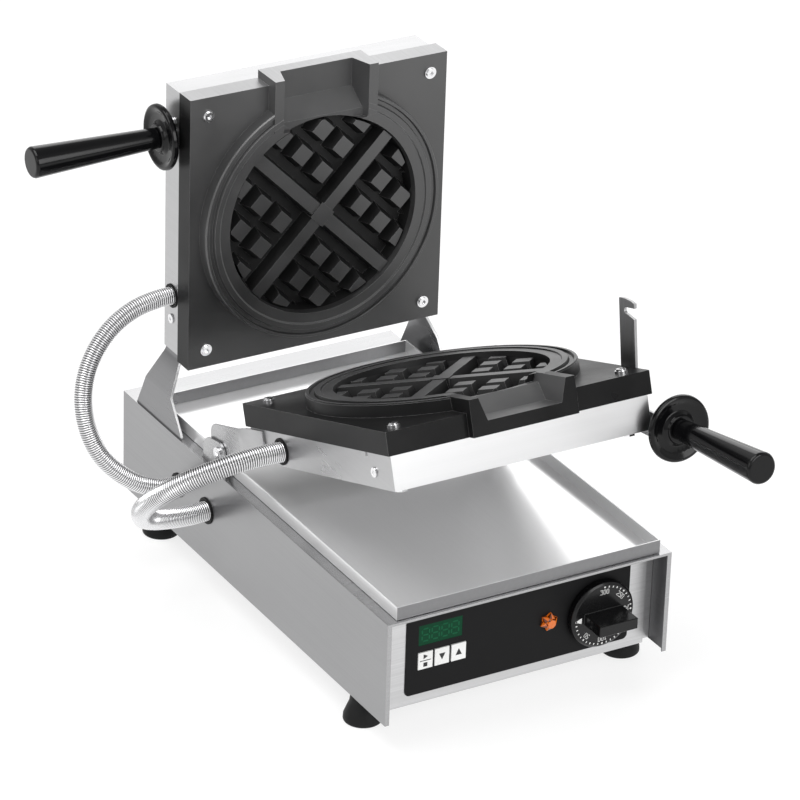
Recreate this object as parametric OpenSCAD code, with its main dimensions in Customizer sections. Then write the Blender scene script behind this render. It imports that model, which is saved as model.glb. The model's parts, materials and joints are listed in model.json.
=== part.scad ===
// Vertical-fill round waffle maker: a stainless base with a control panel and a
// drip tray, a fixed upright iron, and a front iron that swings up against it.
// Millimetres. +Z up, front faces -Y, origin on the standing plane under the
// centre of the base.

/* [Base] */
// Width of the base
base_w = 300; // [290:1:310]
// Depth of the base
base_d = 518; // [512:1:530]
// Height of the top sheet above the standing plane
base_top = 130; // [128:1:132]
// Height of the feet
foot_h = 26; // [20:1:30]
// Sheet thickness of the base
sheet = 1.5; // [1:0.1:2]
// Setback of the control panel behind the front lip
panel_recess = 21.5; // [18:0.5:26]

/* [Irons] */
// Width of a cast plate
plate_w = 275; // [272:1:276]
// Height of a cast plate
plate_h = 278; // [274:1:282]
// Thickness of a cast plate behind its face
plate_t = 22; // [20:0.5:24]
// Height of the ring above the plate face
ring_h = 13; // [12:0.5:14]
// Radius of the waffle cavity at its lip
cavity_r = 101; // [96:0.5:104]
// Depth of the casing behind the cast plate
case_t = 33; // [31:0.5:36]
// Face of the upright plate, behind the centre of the base
rear_face_y = 149; // [147:0.5:151]
// Height of the irons' lower edge when closed
iron_z = 198; // [196:0.5:200]
// Angle that the front iron is open
open_angle = 71; // [60:1:75]

/* [Controls] */
// Diameter of the thermostat dial
dial_d = 67; // [60:1:70]
// Diameter of the indicator lamp
lamp_d = 19; // [14:1:22]
// Width of a key
key_w = 15.2; // [12:0.1:16]
// Height of a key
key_h = 17.2; // [14:0.1:18]

/* [Handles] */
// Diameter of the round hand guards
guard_d = 64; // [56:1:66]
// Length of a grip from its guard to its end
grip_l = 136; // [120:1:140]
// Diameter of a grip at its outer end
grip_d = 30; // [26:1:32]
// Outer diameter of the rear conduit
rear_hose_d = 18; // [16:0.5:19]
// Outer diameter of the front conduit
front_hose_d = 20; // [17:0.5:20]

/* [Hidden] */
$fn = 64;

// Base
half_w = base_w / 2;
inner_x = half_w - sheet;
front_y = -base_d / 2;
rear_y = base_d / 2;
panel_y = front_y + panel_recess;
foot_x = 138.5;
foot_y = 200;
tray_w = 278;
tray_front_y = front_y + 3.5;
tray_d = 465;
tray_h = 13.6;
tray_sheet = 1.2;
slot_front_y = 140.5;
slot_rear_y = 234;
hose_hole_z = 81;
rear_hose_y = 143;
front_hose_y = 85;
hole_gap = 0.5;

// Irons, in the frame of one half: x across, y from the plate face into the
// casing, z up from the lower edge
cast_z = plate_h / 2;
case_inset = 3.2;
case_wall = 1.2;
case_x = plate_w / 2 - case_inset;
case_back = plate_t + case_t;
cavity_floor = -6;
ring_r = 127;
screw_x = 119;
screw_z = 18.5;
side_hole_y = 40.5;
side_screw_z = 37;
hose_z = 61;
handle_y = 40;
handle_z = 228;
cross_angle = 45;
stud_pitch = 31;
stud_first = 30.4;
stud_low = 25.5;
stud_top = 16.5;
stud_h = 7.5;
rib_h = 8.5;
rib_low = 19;
rib_top = 12.5;
spout_x = 55;
spout_half_top = 45.5;
spout_half_low = 38.5;
spout_rise = 8;

// Hinge of the front iron
hinge_y = 71;
hinge_z = 147.5;
pin_r = 4;
run_gap = 0.05;
mate_gap = 0.3;
front_face_y = rear_face_y - 2 * ring_h - mate_gap;
local_hinge_y = front_face_y - hinge_y;
local_hinge_z = hinge_z - iron_z;
ear_t = 2.5;
base_ear_x = 143.3;
front_ear_x = 140.4;
arm_t = 2.5;
arm_top_z = 246;

// Controls
label_x0 = -118;
label_x1 = 119.5;
label_z0 = 37;
label_z1 = 122;
label_t = 0.8;
label_y = panel_y - label_t;
display_c = [-82.3, 96.8];
display_s = [45.4, 20.6];
key_z = 70.8;
key_x = [-97.8, -80.4, -63];
key_gap = 0.35;
lamp_c = [32, 77.5];
dial_c = [86, 74.5];
skirt_t = 9;
bar_l = 41;
bar_w = 11;
bar_h = 27;
shaft_r = 3;

// Latch, in the frame of the front iron: lever plate and its pivot
lever_x = 141;
lever_t = 3;
pivot = [46.5, 227];
pivot_r = 4;
lean = 10.7;
droop = 10;
guard_at = 60;
latch_x = 155;
catch_y = plate_t + 3.5;
catch_z = 244.4;
catch_r = 2.5;
tab_x = latch_x + 13;

// Conduit routes: hand-chosen points from the hole in an iron to the base
rear_route = [[-131, 190, 259], [-152, 190, 258], [-176, 189, 253], [-199, 187, 241],
    [-218, 183, 223], [-231, 178, 201], [-237, 172, 177], [-236, 165, 152],
    [-228, 158, 128], [-213, 152, 108], [-193, 147, 92], [-170, 144, 83],
    [-146, 143, 81]];
front_route = [[-146, 85, 81], [-168, 84, 81], [-192, 80, 85], [-214, 72, 93],
    [-230, 59, 105], [-240, 44, 121], [-242, 27, 138], [-237, 10, 154],
    [-225, -5, 169], [-207, -17, 181], [-184, -26, 190], [-158, -30, 194],
    [-131, -31, 194]];
hose_sides = 12;

steel = [0.78, 0.79, 0.8];
cast = [0.16, 0.16, 0.17];
black = [0.05, 0.05, 0.06];

// ---------- frames ----------
module rear_iron() { translate([0, rear_face_y, iron_z]) children(); }

module front_iron() {
    translate([0, hinge_y, hinge_z]) rotate([open_angle, 0, 0])
        translate([0, front_face_y - hinge_y, iron_z - hinge_z]) mirror([0, 1, 0])
            children();
}

module on_side(side) { if (side < 0) mirror([1, 0, 0]) children(); else children(); }

// A cylinder along X from x0 to x1
module rod_x(r, x0, x1, y = 0, z = 0) {
    translate([x0, y, z]) rotate([0, 90, 0]) cylinder(r = r, h = x1 - x0);
}

// A cylinder along Y from y0 to y1
module rod_y(r, y0, y1, x = 0, z = 0) {
    translate([x, y0, z]) rotate([-90, 0, 0]) cylinder(r = r, h = y1 - y0);
}

module box(low, high) { translate(low) cube(high - low); }

// A sheet outline drawn in Y and Z, spread along X from x0 to x1
module plate_yz(x0, x1) {
    translate([x0, 0, 0]) rotate([90, 0, 90]) linear_extrude(x1 - x0) children();
}

// ---------- base ----------
module base_shell() {
    hem = 2.5;
    flange = 4.5;
    color(steel) difference() {
        union() {
            box([-half_w, front_y, base_top - sheet], [half_w, rear_y, base_top]);
            box([-half_w, front_y, base_top - hem], [half_w, front_y + 3, base_top]);
            for (s = [-1, 1]) {
                box([min(s * half_w, s * inner_x), front_y, foot_h],
                    [max(s * half_w, s * inner_x), rear_y, base_top]);
                box([min(s * half_w, s * (half_w - flange)), front_y, foot_h],
                    [max(s * half_w, s * (half_w - flange)), front_y + sheet, base_top]);
            }
        }
        for (s = [-1, 1]) {
            box([min(s * inner_x, s * (inner_x - arm_t - 0.1)), slot_front_y, base_top - 5],
                [max(s * inner_x, s * (inner_x - arm_t - 0.1)), slot_rear_y, base_top + 5]);
            box([min(s * base_ear_x, s * (base_ear_x + ear_t)) - 0.2, 57, base_top - 5],
                [max(s * base_ear_x, s * (base_ear_x + ear_t)) + 0.2, 103, base_top + 5]);
        }
        rod_x(front_hose_d / 2 + 2, -half_w - 5, -inner_x + 5, front_hose_y, hose_hole_z);
        rod_x(rear_hose_d / 2 + 2, -half_w - 5, -inner_x + 5, rear_hose_y, hose_hole_z);
    }
}

module front_panel() {
    flat = 138;
    step = 6;
    top = base_top - sheet;
    low = foot_h + 1;
    color(steel) difference() {
        union() {
            box([-flat, panel_y, low], [flat, panel_y + sheet, top]);
            box([-flat, panel_y, low], [flat, panel_y + 14, low + sheet]);
            for (s = [-1, 1]) {
                box([min(s * flat, s * (flat - sheet)), panel_y, low],
                    [max(s * flat, s * (flat - sheet)), panel_y + step, top]);
                box([min(s * (flat - sheet), s * inner_x), panel_y + step, low],
                    [max(s * (flat - sheet), s * inner_x), panel_y + step + sheet, top]);
            }
        }
        for (x = key_x) key_cut(x, panel_y - 2, panel_y + 6);
        display_cut(panel_y - 2, panel_y + 6);
        rod_y(6, panel_y - 2, panel_y + 6, lamp_c[0], lamp_c[1]);
        rod_y(5, panel_y - 2, panel_y + 6, dial_c[0], dial_c[1]);
    }
}

module key_cut(x, y0, y1) {
    box([x - key_w / 2 - key_gap, y0, key_z - key_h / 2 - key_gap],
        [x + key_w / 2 + key_gap, y1, key_z + key_h / 2 + key_gap]);
}

module display_cut(y0, y1) {
    box([display_c[0] - display_s[0] / 2, y0, display_c[1] - display_s[1] / 2],
        [display_c[0] + display_s[0] / 2, y1, display_c[1] + display_s[1] / 2]);
}

module rear_panel() {
    color(steel) difference() {
        box([-inner_x, rear_y - 8 - sheet, foot_h + sheet],
            [inner_x, rear_y - 8, base_top - sheet]);
        rod_y(8, rear_y - 20, rear_y, -90, 62);
        for (x = [30 : 12 : 102])
            box([x, rear_y - 20, 55], [x + 4, rear_y, 100]);
    }
}

module floor_plate() {
    color(steel) difference() {
        box([-inner_x, panel_y + 14.5, foot_h], [inner_x, rear_y - 1, foot_h + sheet]);
        for (x = [-60 : 24 : 60]) for (y = [-120 : 80 : 120])
            box([x, y, foot_h - 3], [x + 5, y + 50, foot_h + 5]);
        for (x = [-1, 1]) for (y = [-1, 1])
            translate([x * foot_x, y * foot_y, foot_h - 3]) cylinder(r = 2.6, h = 9);
    }
}

// A bell-shaped rubber foot with a recess for its screw
module foot(sx, sy) {
    color(black) translate([sx * foot_x, sy * foot_y, 0]) difference() {
        rotate_extrude() polygon([[0, 0], [17.5, 0], [18.5, 1.5], [18.2, 6], [15.5, 13],
            [13, 19], [12, foot_h], [0, foot_h]]);
        translate([0, 0, -1]) cylinder(r = 5, h = 13);
        translate([0, 0, -1]) cylinder(r = 2.6, h = foot_h + 5);
    }
}

module foot_screws() {
    color(steel) for (x = [-1, 1]) for (y = [-1, 1]) translate([x * foot_x, y * foot_y, 0]) {
        translate([0, 0, 8]) cylinder(r = 4.5, h = 4);
        translate([0, 0, 12]) cylinder(r = 2.5, h = foot_h - 6);
        translate([0, 0, foot_h + sheet]) cylinder(r = 4.6, h = 4, $fn = 6);
    }
}

module drip_tray() {
    lip = 1.6;
    color([0.85, 0.86, 0.87]) difference() {
        box([-tray_w / 2, tray_front_y, base_top + 0.2],
            [tray_w / 2, tray_front_y + tray_d, base_top + 0.2 + tray_h]);
        box([-tray_w / 2 + lip, tray_front_y + lip, base_top + 0.2 + tray_sheet],
            [tray_w / 2 - lip, tray_front_y + tray_d - lip, base_top + tray_h + 9]);
    }
}

// ---------- controls ----------
module label_outline() {
    r = 5;
    for (x = [label_x0 + r, label_x1 - r]) translate([x, label_z0 + r]) circle(r = r);
    translate([label_x0 + r, label_z0]) square([label_x1 - label_x0 - 2 * r, r * 2]);
    translate([label_x0, label_z0 + r]) square([label_x1 - label_x0, label_z1 - label_z0 - r]);
}

module control_label() {
    color(black) difference() {
        translate([0, panel_y, 0]) rotate([90, 0, 0]) linear_extrude(label_t) label_outline();
        for (x = key_x) key_cut(x, panel_y - 3, panel_y + 3);
        display_cut(panel_y - 3, panel_y + 3);
        rod_y(6, panel_y - 3, panel_y + 3, lamp_c[0], lamp_c[1]);
        rod_y(5, panel_y - 3, panel_y + 3, dial_c[0], dial_c[1]);
    }
}

module display_window() {
    color([0.02, 0.18, 0.1]) display_cut(label_y + 0.2, panel_y + 3);
}

// Circuit board behind the keys, with its key switches and the digit block
module timer_board() {
    board_y = panel_y + 14;
    color([0.1, 0.35, 0.18]) {
        box([-112, board_y, 48], [-46, board_y + 1.6, 116]);
        for (x = key_x) box([x - 3, board_y - 5, key_z - 3], [x + 3, board_y, key_z + 3]);
        box([display_c[0] - 20, board_y - 10, display_c[1] - 9],
            [display_c[0] + 20, board_y, display_c[1] + 9]);
        box([-108, board_y + 1.6, 100], [-80, board_y + 14, 114]);
        for (x = [-108, -50]) for (z = [52, 112]) rod_y(2.5, panel_y + sheet, board_y, x, z);
    }
}

// A key cap with its stem reaching the switch behind it
module key(i) {
    color([0.93, 0.93, 0.92]) {
        box([key_x[i] - key_w / 2, label_y - 0.9, key_z - key_h / 2],
            [key_x[i] + key_w / 2, panel_y + 2, key_z + key_h / 2]);
        rod_y(2, panel_y + 2, panel_y + 7.8, key_x[i], key_z);
    }
}

module indicator_lamp() {
    color([0.85, 0.38, 0.05]) translate([lamp_c[0], label_y, lamp_c[1]]) rotate([90, 0, 0]) {
        cylinder(r = lamp_d / 2, h = 3.5);
        translate([0, 0, 3.5]) cylinder(r1 = lamp_d / 2, r2 = lamp_d / 2 - 4, h = 4);
        translate([0, 0, -22]) cylinder(r = 5.8, h = 22);
    }
}

module thermostat_knob() {
    color(black) translate([dial_c[0], label_y - 0.6, dial_c[1]]) rotate([90, 0, 0])
        difference() {
            union() {
                cylinder(r = dial_d / 2, h = skirt_t - 2);
                translate([0, 0, skirt_t - 2])
                    cylinder(r1 = dial_d / 2, r2 = dial_d / 2 - 2.5, h = 2);
                translate([-bar_l / 2, -bar_w / 2, 0]) cube([bar_l, bar_w, skirt_t + bar_h]);
            }
            translate([0, 0, -1]) cylinder(r = shaft_r + 0.03, h = skirt_t + 8);
        }
}

module thermostat_shaft() {
    color(steel) rod_y(shaft_r, label_y - skirt_t - 6, panel_y + 20, dial_c[0], dial_c[1]);
}

module thermostat_body() {
    color([0.7, 0.68, 0.6]) difference() {
        union() {
            box([dial_c[0] - 24, panel_y + 6, dial_c[1] - 19],
                [dial_c[0] + 24, panel_y + 40, dial_c[1] + 19]);
            rod_y(4.8, panel_y, panel_y + 7, dial_c[0], dial_c[1]);
            rod_y(9, panel_y + sheet, panel_y + 7, dial_c[0], dial_c[1]);
        }
        rod_y(shaft_r + run_gap, panel_y - 5, panel_y + 21, dial_c[0], dial_c[1]);
    }
}

module terminal_block() {
    color([0.9, 0.9, 0.86]) difference() {
        box([-120, 120, foot_h + sheet], [-60, 142, foot_h + sheet + 22]);
        for (x = [-114 : 12 : -66]) translate([x, 131, foot_h + 12]) cylinder(r = 3, h = 30);
    }
}

module mains_gland() {
    color(black) difference() {
        union() {
            rod_y(7.8, rear_y - 20, rear_y - 6, -90, 62);
            rod_y(11, rear_y - 8, rear_y - 2, -90, 62);
            translate([-90, rear_y - 2, 62]) rotate([-90, 0, 0])
                cylinder(r1 = 10, r2 = 7, h = 2);
            rod_y(12, rear_y - 15, rear_y - 9.5, -90, 62);
        }
        rod_y(4.5, rear_y - 30, rear_y + 10, -90, 62);
    }
}

// ---------- cast plates ----------
// A trapezoid bar along the second diagonal axis, between two heights over the face
module strip(at, low_w, top_w, low, top) {
    translate([at, 160, 0]) rotate([90, 0, 0]) linear_extrude(320)
        polygon([[-low_w / 2, low], [low_w / 2, low], [top_w / 2, top], [-top_w / 2, top]]);
}

function stud_centres() = [for (s = [-1, 1]) for (i = [0 : 2])
    s * (stud_first + stud_pitch * i)];

module studs() {
    intersection() {
        union() for (u = stud_centres()) strip(u, stud_low, stud_top, cavity_floor - 2, stud_h);
        rotate([0, 0, 90])
            union() for (u = stud_centres())
                strip(u, stud_low, stud_top, cavity_floor - 2, stud_h);
        translate([0, 0, cavity_floor - 2]) cylinder(r = cavity_r - 4, h = 40, $fn = 96);
    }
}

module cross_ribs() {
    intersection() {
        union() {
            strip(0, rib_low, rib_top, cavity_floor - 2, rib_h);
            rotate([0, 0, 90]) strip(0, rib_low, rib_top, cavity_floor - 2, rib_h);
            translate([-9, -9, cavity_floor - 2]) cube([18, 18, rib_h - cavity_floor + 3]);
        }
        translate([0, 0, cavity_floor - 2]) cylinder(r = cavity_r - 2, h = 40, $fn = 96);
    }
}

// The ring and its two rims, drawn as radius and height over the face
module ring() {
    land = ring_h - 1.2;
    groove = ring_h - 3;
    rotate_extrude($fn = 128) polygon([[0, -2], [ring_r, -2], [ring_r - 0.8, ring_h - 2],
        [ring_r - 1.6, ring_h - 0.6], [ring_r - 4, ring_h - 0.6], [ring_r - 5.4, groove],
        [ring_r - 8.6, groove], [ring_r - 10, ring_h], [ring_r - 15, ring_h],
        [ring_r - 16.4, land], [0, land]]);
}

// One cast plate, with its face at y = 0 and its ring towards -y
module cast_plate() {
    color(cast) difference() {
        union() {
            difference() {
                union() {
                    box([-plate_w / 2, 0, 0], [plate_w / 2, plate_t, plate_h]);
                    translate([0, 0, cast_z]) rotate([90, 0, 0]) ring();
                    box([-spout_x, -ring_h + 0.2, cast_z + 95],
                        [spout_x, plate_t, plate_h + spout_rise]);
                }
                translate([0, 0, cast_z]) rotate([90, 0, 0]) translate([0, 0, cavity_floor])
                    cylinder(r1 = cavity_r - 4.5, r2 = cavity_r, h = ring_h - cavity_floor + 0.5,
                        $fn = 128);
                spout_channel();
            }
            translate([0, 0, cast_z]) rotate([90, 0, 0]) rotate([0, 0, cross_angle]) {
                studs();
                cross_ribs();
            }
        }
        for (x = [-screw_x, screw_x]) for (z = [screw_z, plate_h - screw_z])
            rod_y(3.2, -5, plate_t + 5, x, z);
    }
}

// The pouring channel: deep at the rim of the plate, rising to a sill at the cavity,
// with side walls that close in towards its floor
module spout_channel() {
    sill = 5;
    deep = -9;
    z0 = cast_z + cavity_r - 8;
    slope = (spout_half_top - spout_half_low) / (ring_h - deep);
    wide = spout_half_top + slope * 5;
    narrow = spout_half_low - slope * 5;
    intersection() {
        translate([-60, 0, 0]) rotate([90, 0, 90]) linear_extrude(120)
            polygon([[-sill, z0], [-sill, plate_h - 38], [-deep, plate_h - 20],
                [-deep, plate_h + 20], [-ring_h - 5, plate_h + 20], [-ring_h - 5, z0]]);
        translate([0, 0, z0 - 10]) linear_extrude(90)
            polygon([[-wide, -ring_h - 5], [wide, -ring_h - 5], [narrow, 5 - deep],
                [-narrow, 5 - deep]]);
    }
}

// ---------- casings ----------
// A sheet pan behind the cast plate, with a hole for the conduit on its left
module casing(hose_d) {
    low = case_inset;
    high = plate_h - case_inset;
    color(steel) difference() {
        box([-case_x, plate_t, low], [case_x, case_back, high]);
        box([-case_x + case_wall, plate_t - 1, low + case_wall],
            [case_x - case_wall, case_back - case_wall, high - case_wall]);
        rod_x(hose_d / 2 + 1.6, -case_x - 2, -case_x + 4, side_hole_y, hose_z);
        for (z = [side_screw_z, plate_h - side_screw_z])
            rod_x(2.6, -case_x - 2, case_x + 2, side_hole_y, z);
        for (x = [-screw_x, screw_x]) for (z = [screw_z, plate_h - screw_z])
            rod_y(3.2, case_back - 5, case_back + 5, x, z);
        children();
    }
}

module rear_casing() {
    rear_iron() casing(rear_hose_d) {
        for (s = [-1, 1])
            box([min(s * (case_x - case_wall), s * (case_x - case_wall - arm_t - 0.2)), 22.8, -5],
                [max(s * (case_x - case_wall), s * (case_x - case_wall - arm_t - 0.2)), 54.2, 8]);
        rod_x(4.2, -case_x - 2, -case_x + 4, handle_y, handle_z);
        rod_x(catch_r, case_x - 4, case_x + 2, catch_y, catch_z);
    }
}

module front_casing() {
    front_iron() {
        casing(front_hose_d) rod_x(4.2, case_x - 4, case_x + 2, pivot[0], pivot[1]);
        color(steel) box([-case_x - 1.2, plate_t, 222], [-case_x, plate_t + 5, 230]);
    }
}

// Button-head screws through the plate's corners into the casing
module plate_screws() {
    color(steel) for (x = [-screw_x, screw_x]) for (z = [screw_z, plate_h - screw_z])
        difference() {
            union() {
                rod_y(3, 0, case_back + 2, x, z);
                rod_y(6, -1.8, 0, x, z);
                rod_y(4.6, -3.4, -1.8, x, z);
                translate([x, case_back, z]) rotate([-90, 0, 0]) cylinder(r = 5.6, h = 4, $fn = 6);
            }
            translate([x, -5, z]) rotate([-90, 0, 0]) cylinder(r = 2.3, h = 3.6, $fn = 6);
        }
}

module side_screws() {
    color(steel) for (s = [-1, 1]) on_side(s)
        for (z = [side_screw_z, plate_h - side_screw_z]) difference() {
            union() {
                rod_x(2.5, case_x - 8, case_x, side_hole_y, z);
                rod_x(4.8, case_x, case_x + 1.6, side_hole_y, z);
            }
            translate([case_x + 0.6, side_hole_y, z]) rotate([0, 90, 0])
                cylinder(r = 1.8, h = 3, $fn = 6);
        }
}

// A tubular ring element against the back of the cast plate, with its two terminals
module heater() {
    r = 82;
    tube = 4;
    y = plate_t + tube + 0.2;
    color([0.35, 0.33, 0.32]) translate([0, y, cast_z]) {
        rotate([90, 0, 0]) rotate_extrude($fn = 96) translate([r, 0]) circle(r = tube, $fn = 24);
        for (z = [-9, 9]) rod_x(2.5, -r - tube - 25, -r - tube - 0.2, 0, z);
    }
}

module insulation() {
    color([0.9, 0.87, 0.78]) box([-112, plate_t + 9, 16], [112, case_back - 3, plate_h - 16]);
}

module sensor_bulb() {
    color([0.72, 0.45, 0.28]) rear_iron() rod_x(3.2, -30, 60, plate_t + 3.4, cast_z + 20);
}

// ---------- carriers and hinge ----------
module arm_outline() {
    polygon([[slot_front_y + 1, 62], [slot_rear_y - 1, 62], [slot_rear_y - 0.5, base_top],
        [223, 150], [216, 164], [203, 196], [202.4, 200], [202.4, arm_top_z],
        [172.6, arm_top_z], [172.6, 196], [163.5, 164], [slot_front_y + 0.6, base_top + 2]]);
}

// The bend of the arm across the width, drawn in X and Z
module arm_bend() {
    low_x = inner_x - arm_t;
    high_x = case_x - case_wall - arm_t;
    rise = 1.1;
    polygon([[low_x, 60], [low_x + arm_t, 60], [low_x + arm_t, 164 + rise],
        [high_x + arm_t, 200], [high_x + arm_t, arm_top_z + 1], [high_x, arm_top_z + 1],
        [high_x, 200 - rise], [low_x, 164]]);
}

module arm(side) {
    color(steel) on_side(side) difference() {
        intersection() {
            translate([0, 260, 0]) rotate([90, 0, 0]) linear_extrude(160) arm_bend();
            plate_yz(120, 155) arm_outline();
        }
        rod_x(2.6, 125, 140, rear_face_y + side_hole_y, iron_z + side_screw_z);
        if (side < 0) rod_x(rear_hose_d / 2 + 4, 130, 155, rear_hose_y, hose_hole_z);
    }
}

module base_ear(side) {
    color(steel) on_side(side) difference() {
        union() {
            plate_yz(base_ear_x, base_ear_x + ear_t) {
                translate([hinge_y, hinge_z]) circle(r = 12);
                translate([85, 141]) circle(r = 16);
                polygon([[60, 96], [101, 96], [101, 141], [85, 157], [hinge_y, hinge_z + 12],
                    [hinge_y - 11.9, hinge_z]]);
            }
            box([base_ear_x, 60, 96], [inner_x, 101, base_top - sheet]);
        }
        rod_x(pin_r + run_gap, base_ear_x - 5, base_ear_x + 9, hinge_y, hinge_z);
    }
}

// A shoulder bolt through both ears, held at its inner end by a retaining ring
module hinge_bolt(side) {
    color(steel) on_side(side) difference() {
        union() {
            rod_x(pin_r, front_ear_x - 0.9, base_ear_x + ear_t, hinge_y, hinge_z);
            rod_x(6.5, base_ear_x + ear_t, base_ear_x + ear_t + 1.8, hinge_y, hinge_z);
            rod_x(5.6, front_ear_x - 0.9, front_ear_x - 0.3, hinge_y, hinge_z);
        }
        translate([base_ear_x + ear_t + 0.4, hinge_y, hinge_z]) rotate([0, 90, 0])
            cylinder(r = 2.6, h = 4, $fn = 6);
    }
}

// The front iron's carrying ear: a strip on the casing that steps out to the hinge
module ear_outline() {
    end = local_hinge_z - 15;
    translate([local_hinge_y, local_hinge_z]) circle(r = 17);
    translate([36, local_hinge_z - 4]) circle(r = 12);
    polygon([[24, 30], [24, local_hinge_z - 4], [36, end - 1], [local_hinge_y, end - 2],
        [local_hinge_y + 16.9, local_hinge_z], [54.8, -4], [54.8, 30]]);
}

module front_ear(side) {
    color(steel) front_iron() on_side(side) difference() {
        intersection() {
            translate([0, 100, 0]) rotate([90, 0, 0]) linear_extrude(120)
                polygon([[case_x, 40], [case_x, 3], [front_ear_x, -9], [front_ear_x, -80],
                    [front_ear_x + ear_t, -80], [front_ear_x + ear_t, -8],
                    [case_x + ear_t, 4], [case_x + ear_t, 40]]);
            plate_yz(120, 155) ear_outline();
        }
        rod_x(6, 130, 150, local_hinge_y, local_hinge_z);
    }
}

module ear_bush(side) {
    color([0.72, 0.55, 0.28]) front_iron() on_side(side) difference() {
        rod_x(6, front_ear_x, front_ear_x + ear_t, local_hinge_y, local_hinge_z);
        rod_x(pin_r + run_gap, front_ear_x - 5, front_ear_x + 9, local_hinge_y, local_hinge_z);
    }
}

// ---------- handles ----------
// A guard and its grip stand along +Z from their mounting face
module guard_shape() {
    r = guard_d / 2;
    difference() {
        rotate_extrude($fn = 96) polygon([[0, -9], [15, -9], [16, -7.5], [16, -3], [r - 5, -3],
            [r - 1.2, -2], [r, 0], [r - 0.6, 3.4], [r - 3, 4.4], [r - 6, 3.4], [r - 9, 1.6],
            [17, 1.2], [14, 3.5], [13, 6], [0, 6]]);
        translate([0, 0, -12]) cylinder(r = 4.05, h = 30);
    }
}

module grip_shape() {
    r = grip_d / 2;
    difference() {
        rotate_extrude($fn = 64) polygon([[0, 6], [9.6, 6], [10, 7], [r, grip_l - 3],
            [r - 1, grip_l - 0.8], [r - 3, grip_l], [0, grip_l]]);
        translate([0, 0, 0]) cylinder(r = 4.05, h = 60);
    }
}

module stud_shape(back) { translate([0, 0, -back]) cylinder(r = 4, h = back + 58); }

module at_rear_handle() {
    rear_iron() translate([-case_x - 12, handle_y, handle_z]) rotate([0, -90, 0]) children();
}

// The handle of the latch, drooping a little from the plane of the front iron
module at_latch_handle() {
    front_iron() translate([latch_x, pivot[0], pivot[1]]) rotate([-droop, 0, 0])
        translate([0, 0, guard_at]) children();
}

module rear_guard() { color(black) at_rear_handle() guard_shape(); }
module rear_grip() { color(black) at_rear_handle() grip_shape(); }
module rear_stud() {
    color(steel) at_rear_handle() {
        stud_shape(20);
        translate([0, 0, -11.9]) cylinder(r = 7, h = 2.7);
    }
}
module latch_guard() { color(black) at_latch_handle() guard_shape(); }
module latch_grip() { color(black) at_latch_handle() grip_shape(); }
module latch_stud() {
    color(steel) at_latch_handle() {
        stud_shape(18);
        translate([0, 0, -16.7]) cylinder(r = 6.5, h = 4.7, $fn = 6);
    }
}

// ---------- latch ----------
// Outline of the lever about its pivot: across the shank, then along it to the hook
module hook_outline() {
    w = 12.5;
    difference() {
        union() {
            circle(r = w + 0.5);
            polygon([[-w, 0], [w, 0], [w, 95.5], [w + 0.8, 105.5], [w + 0.5, 109.5], [8, 110.8],
                [-2, 111], [-w + 3, 110], [-w, 109.3]]);
            translate([0, -w]) square([guard_at - 14, 2 * w]);
        }
        translate([-1.2, 99.8]) circle(r = 3);
        polygon([[-1, 102.8], [w + 5, 105.6], [w + 5, 93.2], [-3, 97.4]]);
    }
}

// Lever plate at the iron's side, with a bent tab that carries the handle
module latch_lever() {
    tab = guard_at - 9;
    color([0.3, 0.3, 0.32]) front_iron() difference() {
        union() {
            plate_yz(lever_x, lever_x + lever_t) translate([pivot[0], pivot[1]])
                rotate([0, 0, 90 - lean]) hook_outline();
            translate([0, pivot[0], pivot[1]]) rotate([-droop, 0, 0])
                box([lever_x, -12.5, tab - 3], [tab_x, 12.5, tab]);
        }
        rod_x(pivot_r + run_gap, lever_x - 3, lever_x + 9, pivot[0], pivot[1]);
        translate([latch_x, pivot[0], pivot[1]]) rotate([-droop, 0, 0])
            translate([0, 0, tab - 9]) cylinder(r = 4.05, h = 20);
    }
}

// Bolt through the casing's side, with the sleeve that spaces the lever out
module latch_pivot() {
    color(steel) front_iron() {
        rod_x(pivot_r, case_x - 6, lever_x + lever_t + 0.3, pivot[0], pivot[1]);
        rod_x(7, case_x, lever_x - 0.2, pivot[0], pivot[1]);
        rod_x(7, lever_x + lever_t + 0.3, lever_x + lever_t + 3.5, pivot[0], pivot[1]);
        translate([case_x - case_wall - 4.5, pivot[0], pivot[1]]) rotate([0, 90, 0])
            cylinder(r = 6.5, h = 4.5, $fn = 6);
    }
}

module latch_pin() {
    color(steel) rear_iron() {
        rod_x(catch_r, case_x - 5, lever_x + lever_t + 4, catch_y, catch_z);
        rod_x(3.4, case_x, lever_x - 1.2, catch_y, catch_z);
    }
}

// ---------- conduits ----------
function unit(v) = v / norm(v);
function heading(p, i) = unit(p[min(i + 1, len(p) - 1)] - p[max(i - 1, 0)]);
function ring_point(p, i, a, r) =
    let (d = heading(p, i), u = unit(cross(d, [0.3, 1, 0.2])), v = cross(d, u))
    p[i] + r * (cos(a) * u + sin(a) * v);

// A tube swept through the points of a route
module hose(route, d) {
    n = hose_sides;
    last = len(route) - 1;
    points = [for (i = [0 : last]) for (k = [0 : n - 1]) ring_point(route, i, 360 * k / n, d / 2)];
    walls = [for (i = [0 : last - 1]) for (k = [0 : n - 1])
        let (a = i * n + k, b = i * n + (k + 1) % n) [a, b, b + n, a + n]];
    ends = [[for (k = [n - 1 : -1 : 0]) k], [for (k = [0 : n - 1]) last * n + k]];
    polyhedron(points = points, faces = concat(walls, ends), convexity = 6);
}

// A plain bushing that lines a conduit's hole
module grommet(d, inner, outer) {
    difference() {
        union() {
            rod_x(d / 2 + 2, outer - 1.2, inner + 2);
            rod_x(d / 2 + 3, inner, inner + 2);
            rod_x(d / 2 + 3.2, outer - 1.2, outer);
        }
        rod_x(d / 2 + hole_gap, outer - 5, inner + 5);
    }
}

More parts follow.
